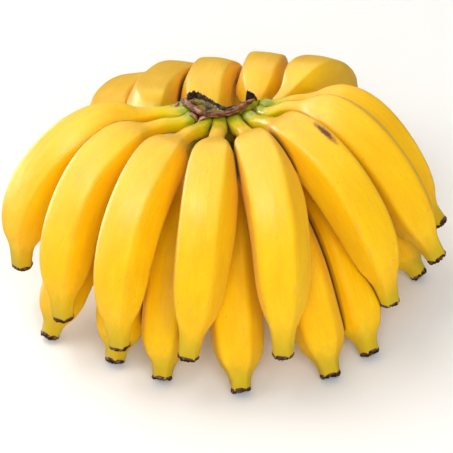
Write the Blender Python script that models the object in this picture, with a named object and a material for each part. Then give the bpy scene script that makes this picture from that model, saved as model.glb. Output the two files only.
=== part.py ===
"""A whole hand of ripe bananas: rings of curved fruits grown from one crown.

The hand stands on the tips of its lower fruits, crown on top. Angles are in degrees, counted
from +X towards +Y round the crown's own upright line, and pitches are counted up from the level.
"""
import math
from collections import namedtuple

import bmesh
import bpy
import numpy as np

MM = 0.001

# One row for each fruit, lengths in millimetres and angles in degrees. A fruit leaves the crown at
# root, heading along launch (angle, pitch), and ends at tip, heading along land (angle, pitch).
# Root and tip are (angle, distance from the crown's line, height). Girth is the largest radius,
# turn is how far round the fruit its ridges lie, pull makes the first bend wide or tight, and neck
# and tail make the two narrow ends long or short.
Fruit = namedtuple("Fruit", "name root launch tip land girth turn pull neck tail", defaults=(1.0,))

UPPER_ROW = (
    Fruit("upper_1", (-163, 23, 105), (-178, 10), (-162, 143, 31), (-150, -82), 19.2, -20, 1.04, 1.25),
    Fruit("upper_2", (-141, 25, 105), (-163, 12), (-139, 147, 28), (-130, -81), 19.4, -10, 0.92, 1.25),
    Fruit("upper_3", (-115, 24, 105), (-129, 16), (-121, 150, 27), (-117, -83), 18.9, 0, 0.92, 1.2),
    Fruit("upper_4", (-94, 23, 105), (-97, 19), (-104, 152, 28), (-140, -70), 18.6, 0, 1.0, 1.25),
    Fruit("upper_5", (-72, 25, 105), (-72, 13), (-83, 157, 28), (-115, -76), 18.9, 11, 1.0, 1.0),
    Fruit("upper_6", (-52, 28, 105), (-53, 17), (-54, 148, 28), (-58, -80), 18.8, 8, 0.98, 1.0),
    Fruit("upper_7", (-36, 30, 105), (-17, 23), (-35, 148, 29.5), (-30, -60), 18.6, 32, 0.92, 1.3),
    Fruit("upper_8", (-18, 30, 104), (4, 5), (-24, 139, 33), (-32, -45), 18.1, 20, 1.1, 1.4),
)
LOWER_ROW = (
    Fruit("lower_1", (-158, 25, 89), (-160, -20), (-146, 148, 3.2), (-142, -54), 17.0, -8, 1.0, 1.0, 0.6),
    Fruit("lower_2", (-137, 25, 89), (-141, -20), (-126, 141, 3.0), (-122, -54), 17.5, 6, 1.0, 1.0, 0.6),
    Fruit("lower_3", (-115, 25, 89), (-117, -20), (-112, 146, 3.0), (-110, -54), 17.5, -5, 1.0, 1.0, 0.6),
    Fruit("lower_4", (-92, 25, 89), (-92, -20), (-93, 155, 3.0), (-93, -54), 17.5, 4, 1.0, 1.0, 0.6),
    Fruit("lower_5", (-69, 25, 89), (-68, -20), (-73, 158, 3.0), (-76, -54), 18.0, 10, 1.0, 1.0, 0.6),
    Fruit("lower_6", (-46, 25, 89), (-45, -20), (-62, 153, 3.0), (-68, -54), 17.5, -6, 1.0, 1.0, 0.6),
    Fruit("lower_7", (-23, 25, 89), (-23, -20), (-31, 130, 3.2), (-34, -54), 16.5, 0, 1.0, 1.0, 0.6),
)
BACK_ROW = (
    Fruit("back_1", (177, 25, 76), (155, -15), (102, 147, 0.6), (125, -90), 18.5, 0, 1.42, 1.0),
    Fruit("back_2", (162, 23, 99), (186, -10), (93, 141, 0.1), (118, -90), 18.5, 10, 0.69, 0.85),
    Fruit("back_3", (165, 10, 63), (96, 30), (84, 120, -0.5), (85, -88), 19.0, 6, 1.05, 0.7),
    Fruit("back_4", (10, 14, 64), (70, 36), (73, 123, -0.5), (95, -88), 18.5, 7, 1.07, 1.3),
    Fruit("back_5", (9, 20, 77), (6, 50), (51.5, 130, 0.1), (90, -76), 19.7, 0, 0.96, 1.25),
)
FRUITS = UPPER_ROW + LOWER_ROW + BACK_ROW

# Ring positions along a fruit, as shares of its length, each with the radius there as a share of
# the girth: a thin neck, a quick shoulder, the long body, and the narrow end at the flower's scar.
SECTION_STATIONS = (
    (0.000, 0.275), (0.030, 0.268), (0.070, 0.265), (0.115, 0.275), (0.142, 0.330),
    (0.162, 0.450), (0.180, 0.600), (0.204, 0.750), (0.238, 0.860), (0.285, 0.925),
    (0.340, 0.965), (0.430, 0.992), (0.530, 1.000), (0.630, 0.985), (0.715, 0.940),
    (0.785, 0.850), (0.845, 0.700), (0.885, 0.530), (0.920, 0.420), (0.960, 0.375),
    (1.000, 0.345),
)
# The stations up to NECK_END are spread out, or drawn together, by each fruit's neck, and those
# from TAIL_START on by its tail.
NECK_END = 0.2
TAIL_START = 0.715
# The section has five soft ridges. The neck is nearly round: it keeps NECK_RIDGES of them, and the
# rest comes in between the two radius shares of RIDGES_GROW.
RIDGE_ANGLES = (38.0, 108.0, 180.0, 252.0, 322.0)
RIDGE_SHARE = 0.7
NECK_RIDGES = 0.35
RIDGES_GROW = (0.3, 0.6)
SIDES_PER_FACE = 3
# How far the two bends of a centre line reach, as shares of its chord.
LAUNCH_PULL = 0.52
LAND_PULL = 0.40
LINE_POINTS = 160
# An upper fruit's neck leaves straight out of the crown, dips, and joins the centre line after
# NECK_RUN. Both ends of that bend are NECK_BEND long.
NECK_RUN = 20 * MM
NECK_BEND = 7 * MM
NECK_PITCH = -14
# Neighbouring fruits press each other flat, and keep this gap. Only lines within reach count.
SKIN_GAP = 0.7 * MM
PRESS_REACH = 25 * MM
PRESS_POINTS = 40
PRESS_HALVINGS = 18

# The crown: outlines at a few heights, from the lowest stub to the cut face on top. Each level is
# (height, largest radius, left end angle, right end angle, how far the crescent has opened).
CROWN_LEVELS = (
    (54, 10.0, -180, 0, 0.0), (60, 14.5, -180, 0, 0.0), (69, 17.5, -182, 2, 0.0),
    (75, 24.0, -184, 2, 0.0), (82, 25.0, -186, 2, 0.0), (89, 26.0, -192, 0, 0.0),
    (95, 26.0, -197, -3, 0.0), (100, 26.0, -198, -6, 0.15), (104, 26.0, -194, -12, 0.5),
    (111.5, 24.0, -176, -24, 1.0),
)
CROWN_STEPS = 36
CROWN_BACK = -1.2
# The back face starts this far in from the left end, where the crown reaches round to back_2.
BACK_INSET = 9.0
# The crown stops this far short of each neck's end, over the neck's radius and a margin round it.
CROWN_SEAT = 0.9
SEAT_MARGIN = 5.0
SEAT_FACING = 0.2
CUT_BACK_EDGE = (
    (-21.0, -0.5), (-16.5, -1.5), (-13.0, -1.5), (-9.0, -4.0), (-5.5, -7.5), (-2.5, -11.5),
    (0.5, -14.6), (3.5, -16.6), (7.0, -17.2), (11.5, -15.2), (16.5, -12.0), (20.5, -8.5),
)

# The dried edge of the cut: a brown band round the crescent, with a thin lip along its back.
RIM_OUTER = (
    (-22.6, -2.0), (-21.4, -7.0), (-18.4, -13.4), (-14.6, -19.2), (-10.0, -22.8), (-4.0, -24.6),
    (2.0, -25.0), (8.0, -23.6), (13.4, -20.6), (18.2, -16.6), (22.8, -12.4), (21.2, -8.4),
    (16.5, -11.2), (11.5, -14.4), (7.0, -16.4), (3.5, -15.8), (0.5, -13.6), (-2.5, -10.4),
    (-5.5, -6.4), (-9.0, -2.8), (-13.0, -0.2), (-17.0, 0.2), (-21.0, 0.6),
)
RIM_INNER = (
    (-19.4, -3.0), (-18.0, -6.6), (-15.4, -11.2), (-12.0, -15.4), (-8.2, -18.4), (-3.4, -20.2),
    (0.6, -20.6), (3.0, -20.3), (4.6, -19.8), (5.8, -19.3), (6.6, -18.9), (6.4, -18.5),
    (5.6, -18.3), (4.6, -18.1), (3.4, -17.7), (1.8, -16.8), (-0.6, -14.6), (-3.6, -11.2),
    (-6.8, -7.6), (-10.0, -4.6), (-13.2, -2.6), (-16.6, -2.0), (-18.8, -2.0),
)
RIM_BOTTOM = 112.3
RIM_BAND_TOP = 114.4
RIM_LIP_TOP = 116.0
RIM_BAND_POINTS = 12


def remove_scene_objects():
    for obj in list(bpy.data.objects):
        bpy.data.objects.remove(obj, do_unlink=True)


def make_material(name, colour, roughness):
    material = bpy.data.materials.new(name)
    material.use_nodes = True
    shader = material.node_tree.nodes["Principled BSDF"]
    shader.inputs["Base Color"].default_value = (*colour, 1.0)
    shader.inputs["Roughness"].default_value = roughness
    shader.inputs["Metallic"].default_value = 0.0
    material.diffuse_color = (*colour, 1.0)
    return material


def polar(angle, out, height):
    turn = math.radians(angle)
    return np.array([math.cos(turn) * out, math.sin(turn) * out, height]) * MM


def heading(angle, pitch):
    turn, rise = math.radians(angle), math.radians(pitch)
    return np.array([math.cos(turn) * math.cos(rise), math.sin(turn) * math.cos(rise), math.sin(rise)])


def bezier(points, count):
    t = np.linspace(0.0, 1.0, count)[:, None]
    a, b, c, d = points
    return a * (1 - t) ** 3 + 3 * b * t * (1 - t) ** 2 + 3 * c * t * t * (1 - t) + d * t ** 3


def measured(curve):
    """How far along a curve each of its points is."""
    return np.concatenate([[0.0], np.cumsum(np.linalg.norm(np.diff(curve, axis=0), axis=1))])


def leaving(fruit):
    """The way in which a fruit's neck leaves the crown."""
    if fruit in UPPER_ROW:
        return heading(fruit.root[0], NECK_PITCH)
    return heading(*fruit.launch)


def centre_line(fruit, count):
    """Points along a fruit's centre line, evenly spaced, from the crown to the tip."""
    root, tip = polar(*fruit.root), polar(*fruit.tip)
    chord = np.linalg.norm(tip - root)
    bend = root + heading(*fruit.launch) * chord * LAUNCH_PULL * fruit.pull
    fall = tip - heading(*fruit.land) * chord * LAND_PULL
    curve = bezier((root, bend, fall, tip), 400)
    if fruit in UPPER_ROW:
        rest = curve[measured(curve) > NECK_RUN]
        way = (rest[1] - rest[0]) / np.linalg.norm(rest[1] - rest[0])
        leave = root + leaving(fruit) * NECK_BEND
        curve = np.concatenate([bezier((root, leave, rest[0] - way * NECK_BEND, rest[0]), 60), rest[1:]])
    run = measured(curve)
    even = np.linspace(0.0, run[-1], count)
    return np.stack([np.interp(even, run, curve[:, k]) for k in range(3)], axis=1)


def narrowing(fruit):
    """The share of the length at which a fruit starts to narrow towards its tip."""
    return 1.0 - (1.0 - TAIL_START) * fruit.tail


def spread_stations(fruit, stations):
    """Shares of the length at which the stations lie, with the fruit's own neck and tail."""
    stations = np.interp(stations, (0.0, NECK_END, 1.0), (0.0, NECK_END * fruit.neck, 1.0))
    return np.interp(stations, (0.0, NECK_END, TAIL_START, 1.0), (0.0, NECK_END, narrowing(fruit), 1.0))


def thickness(fruit, share):
    """Radius at a share of the length, as a share of the girth: a smooth curve with no overshoot."""
    share = np.interp(share, (0.0, NECK_END, narrowing(fruit), 1.0), (0.0, NECK_END, TAIL_START, 1.0))
    share = np.interp(share, (0.0, NECK_END * fruit.neck, 1.0), (0.0, NECK_END, 1.0))
    xs = np.array([station[0] for station in SECTION_STATIONS])
    ys = np.array([station[1] for station in SECTION_STATIONS])
    slope = np.diff(ys) / np.diff(xs)
    product = slope[1:] * slope[:-1]
    inner = np.where(product > 0, 2 * product / (slope[1:] + slope[:-1] + 1e-12), 0.0)
    rate = np.concatenate([[slope[0]], inner, [slope[-1]]])
    i = np.clip(np.searchsorted(xs, share) - 1, 0, len(xs) - 2)
    width = xs[i + 1] - xs[i]
    t = (share - xs[i]) / width
    return ((2 * t ** 3 - 3 * t * t + 1) * ys[i] + (t ** 3 - 2 * t * t + t) * width * rate[i]
            + (3 * t * t - 2 * t ** 3) * ys[i + 1] + (t ** 3 - t * t) * width * rate[i + 1])


def ring_angles(turn):
    """Angles of a ring's points: one on each ridge and the rest between, turned with the ridges."""
    ridges = list(RIDGE_ANGLES) + [RIDGE_ANGLES[0] + 360.0]
    angles = [a + (b - a) * k / SIDES_PER_FACE for a, b in zip(ridges, ridges[1:])
              for k in range(SIDES_PER_FACE)]
    return np.radians(np.array(angles) + turn)


def section_shape(angles, turn):
    """Radius at each angle of the soft five-sided section, 1 on a ridge."""
    ridges = np.radians(np.array(RIDGE_ANGLES + (RIDGE_ANGLES[0] + 360.0,)) + turn)
    turned = np.mod(angles - ridges[0], 2 * math.pi) + ridges[0]
    i = np.clip(np.searchsorted(ridges, turned, side="right") - 1, 0, 4)
    half, middle = (ridges[i + 1] - ridges[i]) / 2, (ridges[i + 1] + ridges[i]) / 2
    return 1 - RIDGE_SHARE + RIDGE_SHARE * np.cos(half) / np.cos(turned - middle)


def fruit_rings(fruit, stations):
    """Centre points and rings of a fruit before its neighbours press on it."""
    shares = spread_stations(fruit, stations)
    line = centre_line(fruit, LINE_POINTS)
    tangent = np.gradient(line, axis=0)
    tangent /= np.linalg.norm(tangent, axis=1)[:, None]
    across = np.cross(line[-1] - line[0], (0.0, 0.0, 1.0))
    outer = np.cross(across, tangent)
    outer /= np.linalg.norm(outer, axis=1)[:, None]
    side = np.cross(tangent, outer)
    run = np.linspace(0.0, 1.0, len(line))

    def at(values):
        return np.stack([np.interp(shares, run, values[:, k]) for k in range(3)], axis=1)

    centre, outer, side = at(line), at(outer), at(side)
    share = thickness(fruit, shares)
    grown = np.clip((share - RIDGES_GROW[0]) / (RIDGES_GROW[1] - RIDGES_GROW[0]), 0, 1)
    five_sided = NECK_RIDGES + (1 - NECK_RIDGES) * grown
    angles = ring_angles(fruit.turn)
    shape = section_shape(angles, fruit.turn)[None] - 1
    radius = share[:, None] * fruit.girth * MM * (1 + shape * five_sided[:, None])
    spoke = np.cos(angles)[None, :, None] * outer[:, None] + np.sin(angles)[None, :, None] * side[:, None]
    return centre, centre[:, None] + radius[:, :, None] * spoke


def clearance(points, line, radius):
    """Distance from each point to a fruit's centre line, less the fruit's radius there."""
    step = line[1:] - line[:-1]
    offset = points[:, None] - line[None, :-1]
    t = np.clip((offset * step[None]).sum(2) / (step ** 2).sum(1)[None], 0, 1)
    nearest = line[None, :-1] + step[None] * t[:, :, None]
    away = np.linalg.norm(points[:, None] - nearest, axis=2)
    return (away - (radius[None, :-1] * (1 - t) + radius[None, 1:] * t)).min(1)


def pressed_rings(fruits, stations):
    """Rings of every fruit, flattened where two fruits would share the same room."""
    coarse = np.linspace(0.0, 1.0, PRESS_POINTS)
    lines = [(centre_line(f, PRESS_POINTS), thickness(f, coarse) * f.girth * MM) for f in fruits]
    result = []
    for i, fruit in enumerate(fruits):
        centre, rings = fruit_rings(fruit, stations)
        hub = np.repeat(centre, rings.shape[1], axis=0)
        points = rings.reshape(-1, 3)
        keep = np.ones(len(points))
        for j, other in enumerate(lines):
            if i == j:
                continue
            low, high = other[0].min(0) - PRESS_REACH, other[0].max(0) + PRESS_REACH
            near = np.where(((points > low) & (points < high)).all(1))[0]
            if not len(near):
                continue
            excess = clearance(points[near], *lines[i]) - clearance(points[near], *other) + SKIN_GAP
            inside = near[excess > 0]
            if not len(inside):
                continue
            free, blocked = np.zeros(len(inside)), np.ones(len(inside))
            for _ in range(PRESS_HALVINGS):
                middle = (free + blocked) / 2
                trial = hub[inside] + (points[inside] - hub[inside]) * middle[:, None]
                over = clearance(trial, *lines[i]) - clearance(trial, *other) + SKIN_GAP > 0
                blocked = np.where(over, middle, blocked)
                free = np.where(over, free, middle)
            keep[inside] = np.minimum(keep[inside], free)
        result.append((centre, (hub + (points - hub) * keep[:, None]).reshape(rings.shape)))
    return result


def solid_object(name, collection, material, parent, origin, build):
    """A closed mesh object made by build(bm), standing at origin under the parent."""
    bm = bmesh.new()
    build(bm)
    bmesh.ops.triangulate(bm, faces=bm.faces[:])
    bmesh.ops.recalc_face_normals(bm, faces=bm.faces[:])
    bmesh.ops.translate(bm, verts=bm.verts[:], vec=[-value for value in origin])
    mesh = bpy.data.meshes.new(name)
    bm.to_mesh(mesh)
    bm.free()
    mesh.shade_smooth()
    mesh.set_sharp_from_angle(angle=math.radians(40))
    mesh.materials.append(material)
    obj = bpy.data.objects.new(name, mesh)
    collection.objects.link(obj)
    obj.parent = parent
    obj.location = [float(value) for value in origin]
    return obj


def join_loops(bm, first, second, closed=True):
    """Quads between two rows of vertices of the same length."""
    last = len(first) if closed else len(first) - 1
    for k in range(last):
        n = (k + 1) % len(first)
        bm.faces.new((first[k], first[n], second[n], second[k]))


def fruit_builder(rings):
    """A loft through the rings, cut level where it rests on the ground."""
    def build(bm):
        loops = [[bm.verts.new(point) for point in ring] for ring in rings]
        for first, second in zip(loops, loops[1:]):
            join_loops(bm, first, second)
        bm.faces.new(reversed(loops[0]))
        bm.faces.new(loops[-1])
        if rings[:, :, 2].min() < 0:
            bmesh.ops.triangulate(bm, faces=bm.faces[:])
            everything = bm.verts[:] + bm.edges[:] + bm.faces[:]
            bmesh.ops.bisect_plane(bm, geom=everything, dist=1e-7, plane_co=(0, 0, 0),
                                   plane_no=(0, 0, -1), clear_outer=True)
            rim = [edge for edge in bm.edges if edge.is_boundary]
            bmesh.ops.holes_fill(bm, edges=rim, sides=0)
    return build


def seat_radius(angle, height, largest):
    """How far the crown reaches at an angle and height before it meets a neck's end, less a gap."""
    start, way = np.array([0.0, 0.0, height * MM]), heading(angle, 0)
    reach = largest * MM
    for fruit in FRUITS:
        root, out = polar(*fruit.root), leaving(fruit)
        facing = float(way @ out)
        if facing < SEAT_FACING:
            continue
        distance = float((root - start) @ out) / facing
        spread = np.linalg.norm(start + way * distance - root)
        if distance > 0 and spread < (fruit.girth * SECTION_STATIONS[0][1] + SEAT_MARGIN) * MM:
            reach = min(reach, distance - CROWN_SEAT * MM)
    return reach


def along(points, count):
    """Evenly spaced points along a bent line given by a few corners."""
    corners = np.array(points, dtype=float)
    run = np.concatenate([[0.0], np.cumsum(np.linalg.norm(np.diff(corners, axis=0), axis=1))])
    even = np.linspace(0.0, run[-1], count)
    return np.stack([np.interp(even, run, corners[:, k]) for k in range(2)], axis=1)


def crown_builder(bm):
    """Levels of a fan-shaped block whose top opens into a crescent."""
    opened = along(CUT_BACK_EDGE, CROWN_STEPS) * MM
    outer_loops, inner_loops = [], []
    for height, largest, left, right, crescent in CROWN_LEVELS:
        outer = [heading(angle, 0)[:2] * seat_radius(angle, height, largest)
                 for angle in np.linspace(left, right, CROWN_STEPS)]
        back_left = (outer[0][0] + BACK_INSET * MM, CROWN_BACK * MM)
        flat = along((back_left, (outer[-1][0], CROWN_BACK * MM)), CROWN_STEPS)
        inner = flat * (1 - crescent) + opened * crescent
        outer_loops.append([bm.verts.new((*point, height * MM)) for point in outer])
        inner_loops.append([bm.verts.new((*point, height * MM)) for point in inner])
    for k in range(len(CROWN_LEVELS) - 1):
        join_loops(bm, outer_loops[k], outer_loops[k + 1], closed=False)
        join_loops(bm, inner_loops[k + 1], inner_loops[k], closed=False)
        for end in (0, -1):
            bm.faces.new((outer_loops[k][end], outer_loops[k + 1][end],
                          inner_loops[k + 1][end], inner_loops[k][end]))
    for level in (0, -1):
        join_loops(bm, outer_loops[level], inner_loops[level], closed=False)


def rim_builder(bm):
    """A ring of dried tissue: flat band in front, taller lip behind, the cut face open inside."""
    def loop(points, heights):
        return [bm.verts.new((x * MM, y * MM, z * MM)) for (x, y), z in zip(points, heights)]

    count = len(RIM_OUTER)
    tops = [RIM_BAND_TOP if k < RIM_BAND_POINTS else RIM_LIP_TOP for k in range(count)]
    outer_top, inner_top = loop(RIM_OUTER, tops), loop(RIM_INNER, tops)
    bottoms = [RIM_BOTTOM] * count
    outer_low, inner_low = loop(RIM_OUTER, bottoms), loop(RIM_INNER, bottoms)
    join_loops(bm, outer_low, outer_top)
    join_loops(bm, outer_top, inner_top)
    join_loops(bm, inner_top, inner_low)
    join_loops(bm, inner_low, outer_low)


def main():
    remove_scene_objects()
    collection = bpy.data.collections.new("banana_hand")
    bpy.context.scene.collection.children.link(collection)
    base = bpy.data.objects.new("banana_hand_origin", None)
    collection.objects.link(base)

    stations = np.array([station[0] for station in SECTION_STATIONS])
    rings = pressed_rings(FRUITS, stations)
    reach = np.concatenate([ring.reshape(-1, 3) for _, ring in rings])
    middle = (reach.min(0) + reach.max(0)) / 2
    base.location = (-float(middle[0]), -float(middle[1]), 0.0)

    for fruit, (centre, ring) in zip(FRUITS, rings):
        peel = make_material("peel_" + fruit.name, (0.90, 0.56, 0.03), 0.42)
        solid_object("banana_" + fruit.name, collection, peel, base, centre[0], fruit_builder(ring))
    green = make_material("crown_green", (0.36, 0.42, 0.05), 0.45)
    solid_object("crown", collection, green, base, (0.0, 0.0, CROWN_LEVELS[0][0] * MM), crown_builder)
    brown = make_material("dried_brown", (0.13, 0.065, 0.035), 0.8)
    solid_object("dried_cut_rim", collection, brown, base, (0.0, 0.0, RIM_BOTTOM * MM), rim_builder)


main()
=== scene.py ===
"""Looks for a hand of ripe bananas: peel, green knuckles, the cut crown and its dried edge.

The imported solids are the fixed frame. Every fruit is lofted again here along the same centre line,
with soft ridges, a neck that bends down into the crown and a dried scar where the flower was.
"""
import math
from collections import namedtuple
from functools import partial

import bpy
import numpy as np
from bpy.props import FloatProperty, FloatVectorProperty, IntProperty, PointerProperty
from mathutils import Matrix, Vector, noise


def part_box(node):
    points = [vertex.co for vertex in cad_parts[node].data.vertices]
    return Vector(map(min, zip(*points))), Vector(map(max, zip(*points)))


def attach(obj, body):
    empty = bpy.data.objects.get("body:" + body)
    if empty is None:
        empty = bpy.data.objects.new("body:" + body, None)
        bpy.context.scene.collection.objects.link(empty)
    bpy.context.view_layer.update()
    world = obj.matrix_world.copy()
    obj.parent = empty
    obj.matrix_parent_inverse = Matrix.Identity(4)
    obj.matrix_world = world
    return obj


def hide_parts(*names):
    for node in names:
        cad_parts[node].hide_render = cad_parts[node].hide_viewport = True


bl_info = {
    "name": "Hand of Bananas",
    "version": (1, 0, 0),
    "blender": (4, 5, 0),
    "location": "3D View > Sidebar > Bananas",
    "description": "Peel, crown, dried scars and a plain studio for a hand of bananas",
    "category": "Object",
}

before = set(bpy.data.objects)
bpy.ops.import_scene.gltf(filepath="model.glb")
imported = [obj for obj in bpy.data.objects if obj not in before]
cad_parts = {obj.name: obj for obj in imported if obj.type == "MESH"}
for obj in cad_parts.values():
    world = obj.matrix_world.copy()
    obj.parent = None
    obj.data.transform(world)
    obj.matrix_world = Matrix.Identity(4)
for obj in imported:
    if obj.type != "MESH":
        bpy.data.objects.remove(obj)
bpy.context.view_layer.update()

MM = 0.001
RIM_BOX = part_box("dried_cut_rim")
# From the rim's left front corner to the crown's upright line, in millimetres.
RIM_TO_LINE = (22.6, 25.0)

# Fruits as the solids have them: millimetres and degrees about the crown's upright line. A fruit
# leaves the crown at root, heading along launch (angle, pitch), and ends at tip, heading along land
# (angle, pitch). Root and tip are (angle, distance from the line, height). Girth is the largest
# radius, turn is how far round the fruit its ridges lie, pull makes the first bend wide or tight,
# and neck and tail make the two narrow ends long or short.
Fruit = namedtuple("Fruit", "name root launch tip land girth turn pull neck tail", defaults=(1.0,))

UPPER_ROW = (
    Fruit("upper_1", (-163, 23, 105), (-178, 10), (-162, 143, 31), (-150, -82), 19.2, -20, 1.04, 1.25),
    Fruit("upper_2", (-141, 25, 105), (-163, 12), (-139, 147, 28), (-130, -81), 19.4, -10, 0.92, 1.25),
    Fruit("upper_3", (-115, 24, 105), (-129, 16), (-121, 150, 27), (-117, -83), 18.9, 0, 0.92, 1.2),
    Fruit("upper_4", (-94, 23, 105), (-97, 19), (-104, 152, 28), (-140, -70), 18.6, 0, 1.0, 1.25),
    Fruit("upper_5", (-72, 25, 105), (-72, 13), (-83, 157, 28), (-115, -76), 18.9, 11, 1.0, 1.0),
    Fruit("upper_6", (-52, 28, 105), (-53, 17), (-54, 148, 28), (-58, -80), 18.8, 8, 0.98, 1.0),
    Fruit("upper_7", (-36, 30, 105), (-17, 23), (-35, 148, 29.5), (-30, -60), 18.6, 32, 0.92, 1.3),
    Fruit("upper_8", (-18, 30, 104), (4, 5), (-24, 139, 33), (-32, -45), 18.1, 20, 1.1, 1.4),
)
LOWER_ROW = (
    Fruit("lower_1", (-158, 25, 89), (-160, -20), (-146, 148, 3.2), (-142, -54), 17.0, -8, 1.0, 1.0, 0.6),
    Fruit("lower_2", (-137, 25, 89), (-141, -20), (-126, 141, 3.0), (-122, -54), 17.5, 6, 1.0, 1.0, 0.6),
    Fruit("lower_3", (-115, 25, 89), (-117, -20), (-112, 146, 3.0), (-110, -54), 17.5, -5, 1.0, 1.0, 0.6),
    Fruit("lower_4", (-92, 25, 89), (-92, -20), (-93, 155, 3.0), (-93, -54), 17.5, 4, 1.0, 1.0, 0.6),
    Fruit("lower_5", (-69, 25, 89), (-68, -20), (-73, 158, 3.0), (-76, -54), 18.0, 10, 1.0, 1.0, 0.6),
    Fruit("lower_6", (-46, 25, 89), (-45, -20), (-62, 153, 3.0), (-68, -54), 17.5, -6, 1.0, 1.0, 0.6),
    Fruit("lower_7", (-23, 25, 89), (-23, -20), (-31, 130, 3.2), (-34, -54), 16.5, 0, 1.0, 1.0, 0.6),
)
BACK_ROW = (
    Fruit("back_1", (177, 25, 76), (155, -15), (102, 147, 0.6), (125, -90), 18.5, 0, 1.42, 1.0),
    Fruit("back_2", (162, 23, 99), (186, -10), (93, 141, 0.1), (118, -90), 18.5, 10, 0.69, 0.85),
    Fruit("back_3", (165, 10, 63), (96, 30), (84, 120, -0.5), (85, -88), 19.0, 6, 1.05, 0.7),
    Fruit("back_4", (10, 14, 64), (70, 36), (73, 123, -0.5), (95, -88), 18.5, 7, 1.07, 1.3),
    Fruit("back_5", (9, 20, 77), (6, 50), (51.5, 130, 0.1), (90, -76), 19.7, 0, 0.96, 1.25),
)
FRUITS = UPPER_ROW + LOWER_ROW + BACK_ROW

# Radius along a fruit, at shares of its length, as a share of its girth.
SECTION_STATIONS = (
    (0.000, 0.275), (0.030, 0.268), (0.070, 0.265), (0.115, 0.275), (0.142, 0.330),
    (0.162, 0.450), (0.180, 0.600), (0.204, 0.750), (0.238, 0.860), (0.285, 0.925),
    (0.340, 0.965), (0.430, 0.992), (0.530, 1.000), (0.630, 0.985), (0.715, 0.940),
    (0.785, 0.850), (0.845, 0.700), (0.885, 0.530), (0.920, 0.420), (0.960, 0.375),
    (1.000, 0.345),
)
# The stations up to NECK_END are spread out, or drawn together, by each fruit's neck, and those
# from TAIL_START on by its tail.
NECK_END = 0.2
TAIL_START = 0.715
# The five ridges: their angles, how far the sides between them are flat, how much of that the neck
# has, and the thickness at which they start and are full.
RIDGE_ANGLES = (38.0, 108.0, 180.0, 252.0, 322.0)
RIDGE_SHARE = 0.80
NECK_RIDGES = 0.35
RIDGES_GROW = (0.3, 0.6)
# How far a fruit keeps to its launch and its land direction, as shares of the chord.
LAUNCH_PULL = 0.52
LAND_PULL = 0.40
LINE_POINTS = 160
# Rows of points along a fruit, closest where it bends and narrows: from share, to share, rows.
SHARE_ROWS = ((0.0, 0.10, 12), (0.10, 0.34, 33), (0.34, 0.80, 39), (0.80, 1.0, 33))
# How much a fruit's ridges stray, in radians and as a share of their height, and how soft they are.
RIDGE_STRAY = 0.04
RIDGE_BLUR = (0.5, 0.65)
# How close to a ridge, from 0 to 1, the peel is rubbed.
RIDGE_EDGE = 0.86
# Waves of slow unevenness: how many, their turns along and round the fruit, and where they grow.
LUMP_WAVES = 5
LUMP_TURNS = (0.6, 3.2)
LUMP_LOBES = 4
LUMP_SHARE = 0.45
LUMPS_GROW = (0.3, 0.7)
# An upper neck leaves straight out of the crown, dips, and joins the centre line after NECK_RUN.
NECK_RUN = 20 * MM
NECK_BEND = 7 * MM
NECK_PITCH = -14
# Fruits that meet press each other flat. This is how near a neighbour is looked for, the points on
# a centre line, the steps of the search, and the grid that it runs on and its blur.
PRESS_REACH = 25 * MM
PRESS_POINTS = 40
PRESS_HALVINGS = 14
PRESS_GRID = (56, 44)
PRESS_BLUR = (1.6, 1.5)
# How near a neighbour's skin has to be for painted shade to darken the peel beside it.
CREASE_REACH = 2.2 * MM
# The neck swells a little where it leaves the crown, and ends there in a round knuckle.
KNUCKLE_SWELL = 0.10
KNUCKLE_FADE = 0.045
KNUCKLE_ROWS = 9
KNUCKLE_CLOSED = 0.96
# Where the neck's greenish yellow and the knuckle's green start and are full, along the length.
NECK_GREENS = (0.185, 0.12)
KNUCKLE_GREENS = (0.098, 0.040)
# Bruises: share of the length, angle in degrees, half length and half width in millimetres.
BRUISES = {"upper_6": (0.362, -22.0, 10.5, 2.5)}
# Written on the peel where no bruise is near, in half lengths of one.
FAR_FROM_MARK = 9.0
# Rings of a flower's scar: how far along it, their width as a share of the tip's, and raggedness.
SCAR_RINGS = (
    (-1.1, 1.012, 0.25), (-0.5, 1.05, 0.3), (0.1, 1.05, 0.6), (0.7, 0.96, 1.0), (1.1, 0.84, 1.2),
    (0.75, 0.70, 0.8), (0.35, 0.45, 0.5), (0.30, 0.18, 0.3),
)
SCAR_SIDES = 48
SCAR_TEETH = 12
SCAR_CLEAR = 0.05 * MM
# Dry threads left on one scar: the angle about the fruit in degrees, and the length in millimetres.
THREADED = "upper_5"
THREADS = ((20.0, 3.6), (75.0, 2.6), (-40.0, 3.0))
THREAD_OUT = 3 * MM
THREAD_HALF = 0.45
THREAD_ROWS = 12

# Heights and reach of the crown's wall under the upper knuckles, in millimetres, and where it ends
# beside the back fruits, in degrees.
WALL_REACH = ((54, 10.0), (58, 15.0), (66, 19.5), (76, 23.5), (88, 25.0), (95, 25.0))
WALL_ENDS = (-198.0, -9.0)
# The wall is full at this height, stays so far behind the knuckles, and is drawn in above them to
# just inside the band.
WALL_FULL = 102.0
WALL_BEHIND = 4.0
TOP_INSIDE = 1.5
KNUCKLE_HEIGHT = 106.0
CROWN_TOP = 111.7
CROWN_STEPS = 84
CROWN_RINGS = 44
# The left end of the crown's straight back, and the heights between which it opens to the crescent.
CROWN_BACK = (-14.0, -0.6)
TOP_OPENS = (98.0, 110.5)
# The top is sunk and drawn in a little under the cut, and the wall wobbles by a length and a height.
SUNK = 1.9
SUNK_SHARE = 0.94
CROWN_WOBBLE = (7 * MM, 0.5 * MM)
# The vector noise takes its offsets from the clock unless they are given a seed.
CROWN_SEED = 3

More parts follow.
